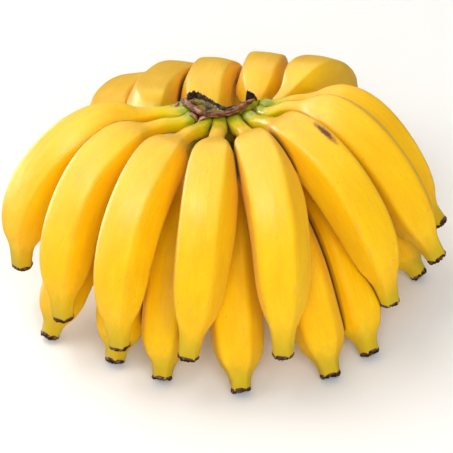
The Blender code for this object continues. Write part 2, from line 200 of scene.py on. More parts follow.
# The dried edge of the cut, seen from above, in millimetres from the crown's line, left to right.
BAND_PATH = (
    (-21.4, -1.8), (-20.2, -6.6), (-17.2, -12.4), (-13.4, -18.0), (-9.0, -21.4), (-3.6, -23.2),
    (1.8, -23.6), (7.2, -22.0), (12.4, -18.6), (17.4, -14.8), (22.4, -11.2),
)
LIP_PATH = (
    (-20.0, -1.4), (-17.4, -2.0), (-13.7, -2.8), (-10.1, -5.2), (-6.7, -8.2), (-3.7, -12.1),
    (-0.8, -15.5), (2.1, -18.4), (5.1, -20.0),
)
CROWN_BACK_PATH = LIP_PATH + ((9.5, -19.2), (13.5, -16.2), (18.0, -12.6), (22.4, -9.4))
FLAP_PATH = ((16.0, -12.2), (18.0, -11.0), (20.6, -11.0), (23.2, -12.6))
BAND_HEIGHT = 112.6
BAND_WIDTH = 4.2
BAND_ROWS = 190
# Half width and half height of the band, and the rise of the lip and the flap, along their paths.
BAND_WIDE = (
    (0.0, 1.3), (0.05, 2.3), (0.2, 2.2), (0.45, 1.8), (0.6, 1.9), (0.78, 2.5), (0.92, 1.6), (1.0, 0.7),
)
BAND_TALL = (
    (0.0, 0.9), (0.05, 1.8), (0.2, 1.7), (0.45, 1.4), (0.6, 1.4), (0.78, 1.7), (0.92, 1.1), (1.0, 0.6),
)
LIP_RISE = ((0.0, 1.6), (0.1, 4.2), (0.3, 3.8), (0.4, 2.4), (0.7, 1.8), (1.0, 0.9))
FLAP_RISE = ((0.0, 0.4), (0.24, 6.6), (0.42, 5.0), (0.75, 3.4), (1.0, 0.5))
# Scraps of dry skin left on the knuckles and necks: their middle lines and half widths.
SCRAPS = (
    (((-19.4, -14.2, 110.2), (-17.2, -17.4, 110.8), (-15.8, -19.6, 110.0), (-15.2, -20.8, 107.6)), 1.5),
    (((-14.8, -22.2, 107.8), (-12.9, -22.2, 110.4), (-10.6, -22.4, 111.2), (-7.2, -22.8, 110.6)), 1.7),
    (((-25.4, 7.6, 104.4), (-27.0, 5.4, 103.8), (-27.2, 3.4, 102.0)), 1.0),
    (((21.6, -17.8, 110.4), (20.5, -19.5, 110.6), (20.0, -20.4, 109.4)), 0.7),
)
SCRAP_ROWS = 34
# Wrinkles in dried tissue, in turns a millimetre along it and in turns round it, and its streaks,
# which are squeezed along it so that they lie lengthwise.
WRINKLES = (0.16, 1.3)
STREAK_SQUEEZE = 0.28
# The papery sheets: points along and up, half thickness, and how far they start below the band.
SHEET_ROWS = 150
SHEET_LEVELS = 10
SHEET_HALF = 0.42
SHEET_FOOT = 0.9
# The cut face lies between the lip and the first corners of the band's path.
CUT_CORNERS = 9
CUT_ROWS = 110
CUT_COLUMNS = 20
CUT_HOLLOW = 1.5

# The camera: tilt down, roll, where its aim lies from the crown's line, and the pixel it falls on.
CAMERA_TILT = 37.9
CAMERA_ROLL = -6.87
AIM_FROM_CROWN = (-3.0 * MM, -31.0 * MM, 22.0 * MM)
AIM_PIXEL = (231.2, 237.3)
FRAME_PIXELS = 453
SENSOR = 36.0
# Lights in metres: place, target, size, the setting that gives the power and its share, tint, and
# the kind of ray that doesn't see it.
LIGHTS = (
    ("overhead_softbox", (-0.45, 0.45, 1.2), (0, 0, 0.05), (0.8, 0.8), "key", 1.0, "fffdf8", "none"),
    ("left_softbox", (-1.1, 0.15, 0.75), (0, 0, 0.06), (0.8, 0.8), "side", 1.0, "fffaf0", "none"),
    ("front_fill", (0.2, -2.0, 1.3), (0, 0, 0.05), (2.0, 1.4), "fill", 1.0, "ffffff", "glossy"),
    ("overhead_board", (-0.1, 0.2, 1.4), (0, 0, 0.05), (1.7, 1.4), "sheen", 1.0, "ffffff", "diffuse"),
    ("left_board", (-1.1, 0.7, 0.4), (0, 0, 0.06), (1.2, 0.8), "sheen", 2.6, "ffffff", "diffuse"),
    ("rear_board", (0.1, 1.4, 1.0), (0, 0.05, 0.09), (1.5, 0.7), "sheen", 0.6, "ffffff", "diffuse"),
    ("glint_lamp", (-0.45, -0.25, 1.2), (0, 0, 0.1), (0.16, 0.16), "glint", 1.0, "ffffff", "diffuse"),
)
SKY_STRENGTH = 0.43
FLOOR_HALF = 4.0


def linear(code):
    """Scene-linear RGBA of an sRGB hex colour such as "f2b705"."""
    channels = [int(code[k:k + 2], 16) / 255 for k in (0, 2, 4)]
    return tuple(c / 12.92 if c <= 0.04045 else ((c + 0.055) / 1.055) ** 2.4 for c in channels) + (1.0,)


def crown_line():
    """Where the crown's upright line stands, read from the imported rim's corner."""
    return Vector((RIM_BOX[0][0] + RIM_TO_LINE[0] * MM, RIM_BOX[0][1] + RIM_TO_LINE[1] * MM, 0.0))


def length_setting(name, description, default, least, most):
    """A length that a user may change: its default and limits in millimetres."""
    return FloatProperty(
        name=name, description=description, default=default * MM, min=least * MM, max=most * MM,
        unit="LENGTH")


def colour_setting(name, description, code):
    """A colour that a user may change, with an sRGB hex value as its default."""
    return FloatVectorProperty(
        name=name, description=description, subtype="COLOR", size=4, default=linear(code), min=0.0, max=1.0)


def power_setting(name, description, default):
    """A light's power in watts that a user may change."""
    return FloatProperty(name=name, description=description, default=default, min=0.0, unit="POWER")


class HandSizes(bpy.types.PropertyGroup):
    """Sizes of the fruit and the crown that a user may change."""
    sides: IntProperty(name="Sides", description="Faces round a fruit", default=72, min=24, max=120)
    skin_gap: length_setting("Skin gap", "Room left between fruits that press on each other", 0.25, 0, 2)
    lump: length_setting("Lumps", "Height of the slow unevenness of a fruit", 0.3, 0, 2)
    scar_length: length_setting("Flower scar", "How far the dried scar stands past the tip", 1.5, 0.2, 6)
    band_width: length_setting("Dried band", "Width of the dried band round the cut", BAND_WIDTH, 1, 8)


class HandColours(bpy.types.PropertyGroup):
    """Colours of the peel, the crown and the dried parts."""
    ripe: colour_setting("Ripe peel", "Main yellow of the peel", "fac500")
    deep: colour_setting("Deep peel", "Warmer yellow in patches", "f8bc00")
    pale: colour_setting("Pale peel", "Lighter yellow in patches", "fccc08")
    neck: colour_setting("Neck", "Greenish yellow of the necks", "e0c400")
    knuckle: colour_setting("Knuckle", "Green where a neck leaves the crown", "96a010")
    crown: colour_setting("Crown", "Green of the crown's side", "9aa014")
    cut: colour_setting("Cut face", "Olive of the drying cut", "857010")
    scab: colour_setting("Scab", "Brown of the dried band", "865030")


class StudioLooks(bpy.types.PropertyGroup):
    """The floor, the lights and the camera."""
    floor: colour_setting("Floor", "Colour of the floor", "f6f5f3")
    key: power_setting("Top light", "Power of the large light overhead", 7.0)
    side: power_setting("Side light", "Power of the light on the left", 4.2)
    fill: power_setting("Front fill", "Power of the fill light in front", 35.0)
    sheen: power_setting("Sheen", "Power of the boards whose only use is a pale sheen on the peel", 14.0)
    glint: power_setting("Glint", "Power of the small lamp that shines on the necks and the cut", 7.0)
    distance: FloatProperty(
        name="Camera distance", description="From the camera to the point that it aims at",
        default=1.35, min=0.5, max=5.0, unit="LENGTH")
    lens: FloatProperty(
        name="Lens", description="Focal length of the camera", default=168.0, min=20.0, max=300.0,
        unit="CAMERA")


def polar(angle, out, height):
    """A point at an angle and a distance from the crown's line."""
    turn = math.radians(angle)
    return np.array([math.cos(turn) * out, math.sin(turn) * out, height]) * MM


def heading(angle, pitch):
    """A direction of length one, by its angle about the crown's line and its pitch above the level."""
    turn, rise = math.radians(angle), math.radians(pitch)
    return np.array([math.cos(turn) * math.cos(rise), math.sin(turn) * math.cos(rise), math.sin(rise)])


def bezier(points, count):
    """So many points on a cubic curve, from its two ends and the two handles between them."""
    t = np.linspace(0.0, 1.0, count)[:, None]
    a, b, c, d = points
    return a * (1 - t) ** 3 + 3 * b * t * (1 - t) ** 2 + 3 * c * t * t * (1 - t) + d * t ** 3


def unit(rows):
    """Directions, or a single one, brought to a length of one."""
    return rows / np.linalg.norm(rows, axis=-1, keepdims=True)


def spokes(angles, outer, side):
    """Directions square to a line, by their angles from outer towards side."""
    return np.cos(angles)[..., None] * outer + np.sin(angles)[..., None] * side


def all_round(count):
    """Even angles once round, in radians."""
    return np.linspace(0.0, 2 * math.pi, count, endpoint=False)


def measured(curve):
    """How far along a curve each of its points lies."""
    return np.concatenate([[0.0], np.cumsum(np.linalg.norm(np.diff(curve, axis=0), axis=1))])


def sampled(curve, run, at):
    """The points of a curve at given lengths along it."""
    return np.stack([np.interp(at, run, curve[:, k]) for k in range(curve.shape[1])], axis=1)


def ramp(value, start, end):
    """How far a value has come from start to end, held between 0 and 1."""
    return np.clip((value - start) / (end - start), 0, 1)


def leaving(fruit):
    """The way in which a fruit's neck leaves the crown."""
    if fruit in UPPER_ROW:
        return heading(fruit.root[0], NECK_PITCH)
    return heading(*fruit.launch)


def centre_line(fruit, count):
    """Evenly spaced points along a fruit's centre line, from the neck's root to the tip."""
    root, tip = polar(*fruit.root), polar(*fruit.tip)
    chord = np.linalg.norm(tip - root)
    bend = root + heading(*fruit.launch) * chord * LAUNCH_PULL * fruit.pull
    fall = tip - heading(*fruit.land) * chord * LAND_PULL
    curve = bezier((root, bend, fall, tip), 400)
    if fruit in UPPER_ROW:
        rest = curve[measured(curve) > NECK_RUN]
        leave = root + leaving(fruit) * NECK_BEND
        join = rest[0] - unit(rest[1] - rest[0]) * NECK_BEND
        curve = np.concatenate([bezier((root, leave, join, rest[0]), 60), rest[1:]])
    run = measured(curve)
    return sampled(curve, run, np.linspace(0.0, run[-1], count))


def station(fruit, share):
    """The station that lies at a share of the length, with the fruit's own neck and tail."""
    narrowing = 1.0 - (1.0 - TAIL_START) * fruit.tail
    share = np.interp(share, (0.0, NECK_END, narrowing, 1.0), (0.0, NECK_END, TAIL_START, 1.0))
    return np.interp(share, (0.0, NECK_END * fruit.neck, 1.0), (0.0, NECK_END, 1.0))


def thickness(fruit, share):
    """Radius at a share of the length, as a share of the girth: a smooth curve with no overshoot."""
    share = station(fruit, share)
    xs, ys = np.array(SECTION_STATIONS).T
    slope = np.diff(ys) / np.diff(xs)
    product = slope[1:] * slope[:-1]
    inner = np.where(product > 0, 2 * product / (slope[1:] + slope[:-1] + 1e-12), 0.0)
    rate = np.concatenate([[slope[0]], inner, [slope[-1]]])
    i = np.clip(np.searchsorted(xs, share) - 1, 0, len(xs) - 2)
    width = xs[i + 1] - xs[i]
    t = (share - xs[i]) / width
    return ((2 * t ** 3 - 3 * t * t + 1) * ys[i] + (t ** 3 - 2 * t * t + t) * width * rate[i]
            + (3 * t * t - 2 * t ** 3) * ys[i + 1] + (t ** 3 - t * t) * width * rate[i + 1])


def ridge_field(angles, ridges):
    """For each angle: the five-sided radius, and how close it is to a ridge, from 0 to 1."""
    edges = np.append(ridges, ridges[0] + 2 * math.pi)
    turned = np.mod(angles - edges[0], 2 * math.pi) + edges[0]
    i = np.clip(np.searchsorted(edges, turned, side="right") - 1, 0, 4)
    half, middle = (edges[i + 1] - edges[i]) / 2, (edges[i + 1] + edges[i]) / 2
    flat = np.cos(half) / np.cos(turned - middle)
    return flat, np.abs(turned - middle) / half


def blurred(field, along, around):
    """A field over (along, round the fruit), softened by a small bell of so many cells each way."""
    def bell(width):
        reach = int(math.ceil(width * 2.5))
        steps = np.arange(-reach, reach + 1)
        weight = np.exp(-0.5 * (steps / max(width, 1e-6)) ** 2)
        return steps, weight / weight.sum()

    steps, weight = bell(around)
    soft = sum(w * np.roll(field, int(k), axis=1) for k, w in zip(steps, weight))
    steps, weight = bell(along)
    rows = np.arange(field.shape[0])
    return sum(w * soft[np.clip(rows + k, 0, len(rows) - 1)] for k, w in zip(steps, weight))


def fruit_frames(fruit, shares):
    """Centre, outer and side direction at each share; shares below zero run into the crown."""
    line = centre_line(fruit, LINE_POINTS)
    length = measured(line)[-1]
    tangent = unit(np.gradient(line, axis=0))
    outer = unit(np.cross(np.cross(line[-1] - line[0], (0.0, 0.0, 1.0)), tangent))
    side = np.cross(tangent, outer)
    run = np.linspace(0.0, 1.0, LINE_POINTS)
    inward = np.minimum(shares, 0.0)[:, None] * length * tangent[0]
    centre = sampled(line, run, shares) + inward
    return centre, sampled(outer, run, shares), sampled(side, run, shares), length


def clearance(points, line, radius):
    """Distance from each point to a fruit's centre line, less the fruit's radius there."""
    step = line[1:] - line[:-1]
    offset = points[:, None] - line[None, :-1]
    t = np.clip((offset * step[None]).sum(2) / (step ** 2).sum(1)[None], 0, 1)
    nearest = line[None, :-1] + step[None] * t[:, :, None]
    away = np.linalg.norm(points[:, None] - nearest, axis=2)
    return (away - (radius[None, :-1] * (1 - t) + radius[None, 1:] * t)).min(1)


def neighbours(index, points):
    """Every other fruit that comes near some of the points, with the numbers of those points."""
    for j, other in enumerate(PRESS_LINES):
        low, high = other[0].min(0) - PRESS_REACH, other[0].max(0) + PRESS_REACH
        near = np.where(((points > low) & (points < high)).all(1))[0]
        if j != index and len(near):
            yield other, near


def pressed(index, hub, points, gap):
    """How much of each point's distance from the hub a fruit keeps beside its neighbours."""
    def too_far(places, other):
        return clearance(places, *PRESS_LINES[index]) - clearance(places, *other) + gap > 0

    keep = np.ones(len(points))
    for other, near in neighbours(index, points):
        inside = near[too_far(points[near], other)]
        if not len(inside):
            continue
        free, blocked = np.zeros(len(inside)), np.ones(len(inside))
        for _ in range(PRESS_HALVINGS):
            middle = (free + blocked) / 2
            over = too_far(hub[inside] + (points[inside] - hub[inside]) * middle[:, None], other)
            blocked = np.where(over, middle, blocked)
            free = np.where(over, free, middle)
        keep[inside] = np.minimum(keep[inside], free)
    return keep


class Surface:
    """The fine surface of one fruit: a grid of points with their shares and angles."""

    def __init__(self, fruit, sizes):
        index = FRUITS.index(fruit)
        chance = np.random.default_rng(40 + index)
        neck = thickness(fruit, 0.0) * (1 + KNUCKLE_SWELL) * fruit.girth * MM
        dome = np.linspace(math.pi / 2 * KNUCKLE_CLOSED, 0.0, KNUCKLE_ROWS)[:-1]
        length = measured(centre_line(fruit, LINE_POINTS))[-1]
        stretches = [np.linspace(*stretch, endpoint=False) for stretch in SHARE_ROWS]
        self.shares = np.concatenate([-np.sin(dome) * neck / length] + stretches + [[1.0]])
        self.angles = all_round(sizes.sides)
        grid_share, grid_angle = np.meshgrid(self.shares, self.angles, indexing="ij")
        self.grid_share, self.grid_angle = grid_share, grid_angle

        base = np.radians(np.array(RIDGE_ANGLES) + fruit.turn) + chance.normal(0, RIDGE_STRAY, 5)
        wander = RIDGE_STRAY * np.sin(2 * math.pi * (grid_share * 0.9 + chance.random()))
        flat, close = ridge_field(grid_angle + wander, base)
        outside = np.maximum(self.shares, 0.0)
        size = thickness(fruit, outside) * (1 + KNUCKLE_SWELL * np.exp(-(outside / KNUCKLE_FADE) ** 2))
        size[:len(dome)] *= np.cos(dome)
        size = size[:, None]
        grown = ramp(size, *RIDGES_GROW)
        ridges = (RIDGE_SHARE + chance.normal(0, RIDGE_STRAY)) * (NECK_RIDGES + (1 - NECK_RIDGES) * grown)
        radius = blurred(size * fruit.girth * MM * (1 - ridges * (1 - flat)), *RIDGE_BLUR)
        for _ in range(LUMP_WAVES):
            waves, lobes = chance.uniform(*LUMP_TURNS), chance.integers(0, LUMP_LOBES)
            swing = np.sin(2 * math.pi * (waves * grid_share + chance.random()) + lobes * grid_angle)
            radius = radius + sizes.lump * LUMP_SHARE * swing * ramp(size, *LUMPS_GROW)

        self.centre, self.outer, self.side, self.length = fruit_frames(fruit, self.shares)
        radius = radius * self.keep_field(fruit, sizes)
        spoke = spokes(grid_angle, self.outer[:, None], self.side[:, None])
        self.points = self.centre[:, None] + radius[..., None] * spoke
        self.crease = self.crease_field(index)
        self.ridge = ramp(close, RIDGE_EDGE, 1.0) * grown
        # Where a point lies on the peel in millimetres, well away from every other fruit's.
        self.place = np.stack([
            grid_share * self.length / MM + 900.0 * index,
            np.cos(grid_angle) * size * fruit.girth, np.sin(grid_angle) * size * fruit.girth], axis=2)

    def tip_frame(self):
        """The middle of the tip's end, the way it faces, and its outer and side directions."""
        return self.centre[-1], unit(self.centre[-1] - self.centre[-3]), self.outer[-1], self.side[-1]

    def keep_field(self, fruit, sizes):
        """The press of the neighbours, found on a coarse grid and softened onto the fine one."""
        coarse = np.linspace(0.0, 1.0, PRESS_GRID[0])
        angles = all_round(PRESS_GRID[1])
        centre, outer, side, _ = fruit_frames(fruit, coarse)
        flat, _ = ridge_field(angles, np.radians(np.array(RIDGE_ANGLES) + fruit.turn))
        radius = thickness(fruit, coarse)[:, None] * fruit.girth * MM * (1 - RIDGE_SHARE * (1 - flat))[None]
        hub = np.repeat(centre, len(angles), axis=0)
        spoke = spokes(angles, outer[:, None], side[:, None])
        points = hub + (radius[..., None] * spoke).reshape(-1, 3)
        keep = pressed(FRUITS.index(fruit), hub, points, sizes.skin_gap).reshape(PRESS_GRID)
        around = np.append(angles, 2 * math.pi)
        wrapped = np.concatenate([keep, keep[:, :1]], axis=1)
        fine = np.stack([np.interp(self.angles, around, row) for row in wrapped])
        fine = np.stack([np.interp(self.shares, coarse, column) for column in fine.T], axis=1)
        return blurred(fine, *PRESS_BLUR)

    def crease_field(self, index):
        """How near each point is to a neighbour's skin, for painted shade: 0 from CREASE_REACH on, and 1
        where they touch.
        """
        points = self.points.reshape(-1, 3)
        nearest = np.full(len(points), CREASE_REACH)
        for other, near in neighbours(index, points):
            nearest[near] = np.minimum(nearest[near], clearance(points[near], *other))
        return np.clip(1 - nearest / CREASE_REACH, 0, 1).reshape(self.grid_share.shape)


PRESS_SHARES = np.linspace(0.0, 1.0, PRESS_POINTS)
PRESS_LINES = [(centre_line(f, PRESS_POINTS), thickness(f, PRESS_SHARES) * f.girth * MM) for f in FRUITS]
SURFACES = {}


def surface_of(fruit, sizes):
    """The fine surface of a fruit, made once."""
    if fruit.name not in SURFACES:
        SURFACES[fruit.name] = Surface(fruit, sizes)
    return SURFACES[fruit.name]


def set_inputs(tree, node, inputs):
    """Gives a node's inputs a value each, or a link from a socket or from a node's output in use."""
    for key, value in inputs.items():
        if isinstance(value, bpy.types.Node):
            value = next(socket for socket in value.outputs if socket.enabled)
        if isinstance(value, bpy.types.NodeSocket):
            tree.links.new(value, node.inputs[key])
        else:
            node.inputs[key].default_value = value


def add_node(tree, kind, inputs=None, **settings):
    """One shader node: its settings, then its inputs."""
    node = tree.nodes.new("ShaderNode" + kind)
    for key, value in settings.items():
        setattr(node, key, value)
    set_inputs(tree, node, inputs or {})
    return node


# Socket numbers of the Mix node in colour mode, whose names repeat, and the ways a layer can rise.
MIX_BY, MIX_FROM, MIX_TO = 0, 6, 7
EVEN, SOFT = "LINEAR", "SMOOTHSTEP"


def tinted(tree, colour, layers):
    """A colour under layers: what drives each, where it starts and is full, its rise, strength and tint."""
    for driver, start, full, rise, most, tint in layers:
        mask = add_node(tree, "MapRange", {
            "Value": driver, 1: start, 2: full, 4: most}, interpolation_type=rise)
        colour = add_node(tree, "Mix", {MIX_BY: mask, MIX_FROM: colour, MIX_TO: tint}, data_type="RGBA")
    return colour


def fresh_material(name):
    """A new material with its node tree, its shader, and add_node for that tree."""
    material = bpy.data.materials.new(name)
    material.use_nodes = True
    tree = material.node_tree
    return material, tree, tree.nodes["Principled BSDF"], partial(add_node, tree)


def waxed_banana_peel(colours):
    """Ripe banana peel, grown with a thin wax skin: soft gloss, faint fibres, specks and scuffs."""
    material, tree, shader, add = fresh_material("waxed_banana_peel")
    place = add("Attribute", attribute_name="peel_place").outputs["Vector"]
    share = add("Attribute", attribute_name="peel_share").outputs["Fac"]
    ridge = add("Attribute", attribute_name="peel_ridge").outputs["Fac"]
    crease = add("Attribute", attribute_name="peel_crease").outputs["Fac"]
    mark = add("Attribute", attribute_name="peel_mark").outputs["Vector"]

    # Slow patches of warmer and paler yellow, about 35 mm long and half as wide.
    long_way = add("Mapping", {"Vector": place, "Scale": (0.5, 1.0, 1.0)})
    patches = add("TexNoise", {"Vector": long_way, "Scale": 1 / 17})
    drift = add("TexNoise", {"Vector": long_way, "Scale": 1 / 9, "Detail": 3.0})
    colour = tinted(tree, tuple(colours.deep), (
        (patches, 0.35, 0.65, EVEN, 1.0, tuple(colours.ripe)),
        (drift, 0.5, 0.8, EVEN, 1.0, tuple(colours.pale))))

    # Fibres run the length of the fruit: 1.2 mm apart, drawn a little coarser than the real ones.
    fibre_way = add("Mapping", {"Vector": place, "Scale": (0.03, 1.0, 1.0)})
    fibres = add("TexNoise", {"Vector": fibre_way, "Scale": 1 / 1.2})
    fibre_tone = add("MapRange", {"Value": fibres, 1: 0.3, 2: 0.7, 3: 0.94})
    colour = add("Mix", {
        MIX_BY: 1.0, MIX_FROM: colour, MIX_TO: fibre_tone}, data_type="RGBA", blend_type="MULTIPLY")

    # The greens of the neck and the knuckle and the olive of the tip begin a little unevenly.
    uneven = add("TexNoise", {"Vector": long_way, "Scale": 1 / 6})
    shifted = add("Math", {0: uneven, 1: 0.07, 2: share}, operation="MULTIPLY_ADD")

    # Painted shade turns the peel brown along the lines where fruits and necks touch, and in the narrow gaps
    # between them that the occlusion node finds.
    broken = add("Math", {0: uneven, 1: 0.30, 2: crease}, operation="MULTIPLY_ADD")
    painted_crease_shade = add("MapRange", {"Value": broken, 1: 0.85, 2: 1.25, 4: 0.5}, interpolation_type=SOFT)
    gap = add("AmbientOcclusion", {"Distance": 2.6 * MM}, samples=8).outputs["AO"]
    deep = add("MapRange", {"Value": gap, 1: 0.72, 2: 0.30, 4: 0.85}, interpolation_type=SOFT)
    painted_crease_shade = add("Math", {0: painted_crease_shade, 1: deep}, operation="MAXIMUM")

    # Specks of 0.5 mm, a few to each patch, fainter ones all over, and tan scuffs of about 12 mm.
    specks = add("TexVoronoi", {"Vector": place, "Scale": 1 / 4.2})
    dot = add("MapRange", {"Value": specks, 1: 0.11, 2: 0.05, 4: 0.55})
    some = add("MapRange", {"Value": add("SeparateColor", {0: specks.outputs["Color"]}), 1: 0.80, 2: 0.85})
    speck = add("Math", {0: dot, 1: some}, operation="MULTIPLY")
    dust = add("TexVoronoi", {"Vector": place, "Scale": 1 / 2.3})
    scuff_way = add("Mapping", {"Vector": place, "Scale": (0.3, 1.0, 1.0)})
    scuffs = add("TexNoise", {"Vector": scuff_way, "Scale": 1 / 3.5, "Detail": 4.0, "Roughness": 0.65})

    # A bruise where two fruits rubbed: brown inside, with a rust edge. Its place is in the mesh.
    rough_edge = add("TexNoise", {"Vector": place, "Scale": 1 / 1.6, "Detail": 3.0})
    radius = add("VectorMath", {0: mark}, operation="LENGTH")
    edge = add("Math", {0: rough_edge, 1: 0.7, 2: radius}, operation="MULTIPLY_ADD")

    # In order: neck, knuckle, tip, painted shade in creases, rubbed ridges, specks, faint specks, scuffs and
    # bruise.
    colour = tinted(tree, colour, (
        (shifted, *NECK_GREENS, SOFT, 1.0, tuple(colours.neck)),
        (shifted, *KNUCKLE_GREENS, SOFT, 1.0, tuple(colours.knuckle)),
        (shifted, 0.90, 1.02, SOFT, 0.75, linear("b8a418")),
        (painted_crease_shade, 0.0, 1.0, EVEN, 1.0, linear("74400e")),
        (ridge, 0.0, 1.0, EVEN, 0.22, linear("c98a1c")),
        (speck, 0.0, 1.0, EVEN, 1.0, linear("94560c")),
        (dust, 0.20, 0.10, EVEN, 0.22, linear("b87a10")),
        (scuffs, 0.60, 0.72, EVEN, 0.40, linear("d8a24a")),
        (edge, 1.45, 1.0, SOFT, 0.9, linear("b5701a")),
        (edge, 1.0, 0.75, SOFT, 0.95, linear("54301c"))))

    # The wax is duller on the body and shines on the necks.
    gloss = add("MapRange", {"Value": drift, 1: 0.3, 2: 0.7, 3: 0.40, 4: 0.50})
    for (start, full), shine in ((NECK_GREENS, 0.28), (KNUCKLE_GREENS, 0.15)):
        gloss = add("MapRange", {
            "Value": shifted, 1: start, 2: full, 3: gloss, 4: shine}, interpolation_type=SOFT)

    # Relief from coarse to fine: dents 7 mm across, the fibres, and pores of 0.9 mm.
    dents = add("TexNoise", {"Vector": long_way, "Scale": 1 / 7})
    pores = add("TexNoise", {"Vector": place, "Scale": 1 / 0.9})
    relief = add("Bump", {"Height": dents, "Distance": 0.45 * MM})
    for height, depth in ((fibres, 0.05 * MM), (pores, 0.03 * MM)):
        relief = add("Bump", {"Height": height, "Distance": depth, "Normal": relief})
    set_inputs(tree, shader, {
        "Base Color": colour, "Roughness": gloss, "Normal": relief, "IOR": 1.36,
        "Subsurface Weight": 0.08, "Subsurface Radius": (1.0, 0.55, 0.08), "Subsurface Scale": 2.5 * MM,
        "Coat Weight": 0.10, "Coat Roughness": 0.35,
        "Sheen Weight": 0.09, "Sheen Roughness": 0.45, "Sheen Tint": linear("fff4dc")})
    return material


def green_crown_tissue(colours):
    """Live crown tissue, grown smooth and waxy: bright green above, with painted shade that turns it dull
    brown down between the necks and dark in its gaps.
    """
    material, tree, shader, add = fresh_material("green_crown_tissue")
    place = add("TexCoord").outputs["Object"]
    height = add("SeparateXYZ", {0: place}).outputs["Z"]
    upright = add("Mapping", {"Vector": place, "Scale": (1.0, 1.0, 0.25)})
    fibres = add("TexNoise", {"Vector": upright, "Scale": 1 / (2.2 * MM), "Detail": 3.0})
    gap = add("AmbientOcclusion", {"Distance": 3.0 * MM}, samples=8).outputs["AO"]
    blots = add("TexNoise", {"Vector": place, "Scale": 1 / (5 * MM), "Detail": 3.0})
    # Paler fibres, painted shade that browns the tissue below the knuckles and darkens the gaps that the
    # occlusion node finds, and brown blots.
    colour = tinted(tree, tuple(colours.crown), (
        (fibres, 0.35, 0.7, EVEN, 1.0, linear("b4b81c")),
        (height, KNUCKLE_HEIGHT * MM, WALL_FULL * MM, SOFT, 0.5, linear("6a4a14")),
        (gap, 0.75, 0.35, SOFT, 0.85, linear("563810")),
        (blots, 0.62, 0.75, EVEN, 0.6, linear("7a5a22"))))
    set_inputs(tree, shader, {
        "Base Color": colour, "Normal": add("Bump", {"Height": fibres, "Distance": 0.25 * MM}),
        "Roughness": 0.22, "IOR": 1.45, "Subsurface Weight": 0.10,
        "Subsurface Radius": (0.6, 1.0, 0.1), "Subsurface Scale": 2.0 * MM})
    return material


def drying_cut_flesh(colours):
    """The knife's cut through the crown, still moist: olive flesh with brown stains and a wet shine."""
    material, tree, shader, add = fresh_material("drying_cut_flesh")
    place = add("TexCoord").outputs["Object"]
    stains = add("TexNoise", {"Vector": place, "Scale": 1 / (6 * MM), "Detail": 3.0})
    colour = tinted(tree, tuple(colours.cut), ((stains, 0.42, 0.62, EVEN, 1.0, linear("2e1e10")),))
    set_inputs(tree, shader, {
        "Base Color": colour, "Normal": add("Bump", {"Height": stains, "Distance": 0.5 * MM}),
        "Roughness": 0.18, "IOR": 1.33, "Specular IOR Level": 0.3})
    return material


def dried_banana_scab(name, dark, middle, light):
    """Dead tissue dried hard: matt and leathery, with dark cracks, paler worn ridges and dark far ends."""
    material, tree, shader, add = fresh_material(name)
    place = add("Attribute", attribute_name="dried_place").outputs["Vector"]
    ends = add("Attribute", attribute_name="dried_end").outputs["Fac"]
    grain = add("TexNoise", {"Vector": place, "Scale": 1 / 2.2, "Detail": 5.0, "Roughness": 0.62})
    shade = add("Math", {0: ends, 1: -0.22, 2: grain}, operation="MULTIPLY_ADD")
    colour = tinted(tree, linear(dark), (
        (shade, 0.38, 0.52, EVEN, 1.0, middle), (shade, 0.54, 0.70, EVEN, 1.0, linear(light))))
    set_inputs(tree, shader, {
        "Base Color": colour, "Normal": add("Bump", {"Height": grain, "Distance": 0.8 * MM}),
        "Roughness": 0.55, "IOR": 1.33})
    return material


MATERIALS = {}


def material_of(name, colours):
    """Each finish by its name, made once."""
    makers = {
        "peel": lambda: waxed_banana_peel(colours),
        "crown": lambda: green_crown_tissue(colours),
        "cut": lambda: drying_cut_flesh(colours),
        "scab": lambda: dried_banana_scab("dried_crown_scab", "26120c", tuple(colours.scab), "c8985e"),
        "scrap": lambda: dried_banana_scab("dry_skin_scrap", "6a4028", linear("a06a48"), "d8a888"),
        "papery": lambda: dried_banana_scab("dried_papery_edge", "140c0c", linear("3a2620"), "70584c"),
        "scar": lambda: dried_banana_scab("dried_flower_scar", "2a1812", linear("6a4834"), "a88c6c"),
    }
    if name not in MATERIALS:
        MATERIALS[name] = makers[name]()
    return MATERIALS[name]


def linked(name, data):
    """A new object in the scene."""
    item = bpy.data.objects.new(name, data)
    bpy.context.collection.objects.link(item)
    return item


def link_piece(mesh, material, slot, *nodes):
    """Puts a mesh, in the crown line's frame, into the scene as a piece of the object."""
    mesh.transform(Matrix.Translation(crown_line()))
    mesh.materials.append(material)
    mesh.shade_smooth()
    piece = linked(mesh.name, mesh)
    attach(piece, "root")
    if nodes:
        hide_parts(*nodes)
    return piece


def grid_mesh(name, points, closed_around=True, caps=(True, True), attributes=None):
    """A mesh from a grid of points, capped at either end, with fields over the grid as attributes."""
    rows, columns = points.shape[:2]
    faces = []
    for i in range(rows - 1):
        for j in range(columns if closed_around else columns - 1):
            n = (j + 1) % columns
            faces.append((i * columns + j, i * columns + n, (i + 1) * columns + n, (i + 1) * columns + j))
    if caps[0]:
        faces += [(rows * columns, (j + 1) % columns, j) for j in range(columns)]
    if caps[1]:
        hub, start = rows * columns + caps[0], (rows - 1) * columns
        faces += [(hub, start + j, start + (j + 1) % columns) for j in range(columns)]

    def with_hubs(field):
        field = field.reshape(rows, columns, -1)
        hubs = [field[row].mean(0)[None] for row, capped in zip((0, -1), caps) if capped]
        return np.concatenate([field.reshape(rows * columns, -1)] + hubs)

    mesh = bpy.data.meshes.new(name)
    mesh.from_pydata(with_hubs(points).tolist(), [], faces)
    for key, field in (attributes or {}).items():
        kind, member = ("FLOAT_VECTOR", "vector") if field.ndim == 3 else ("FLOAT", "value")
        attribute = mesh.attributes.new(key, kind, "POINT")
        attribute.data.foreach_set(member, with_hubs(field).astype(np.float32).ravel())
    mesh.validate()
    return mesh


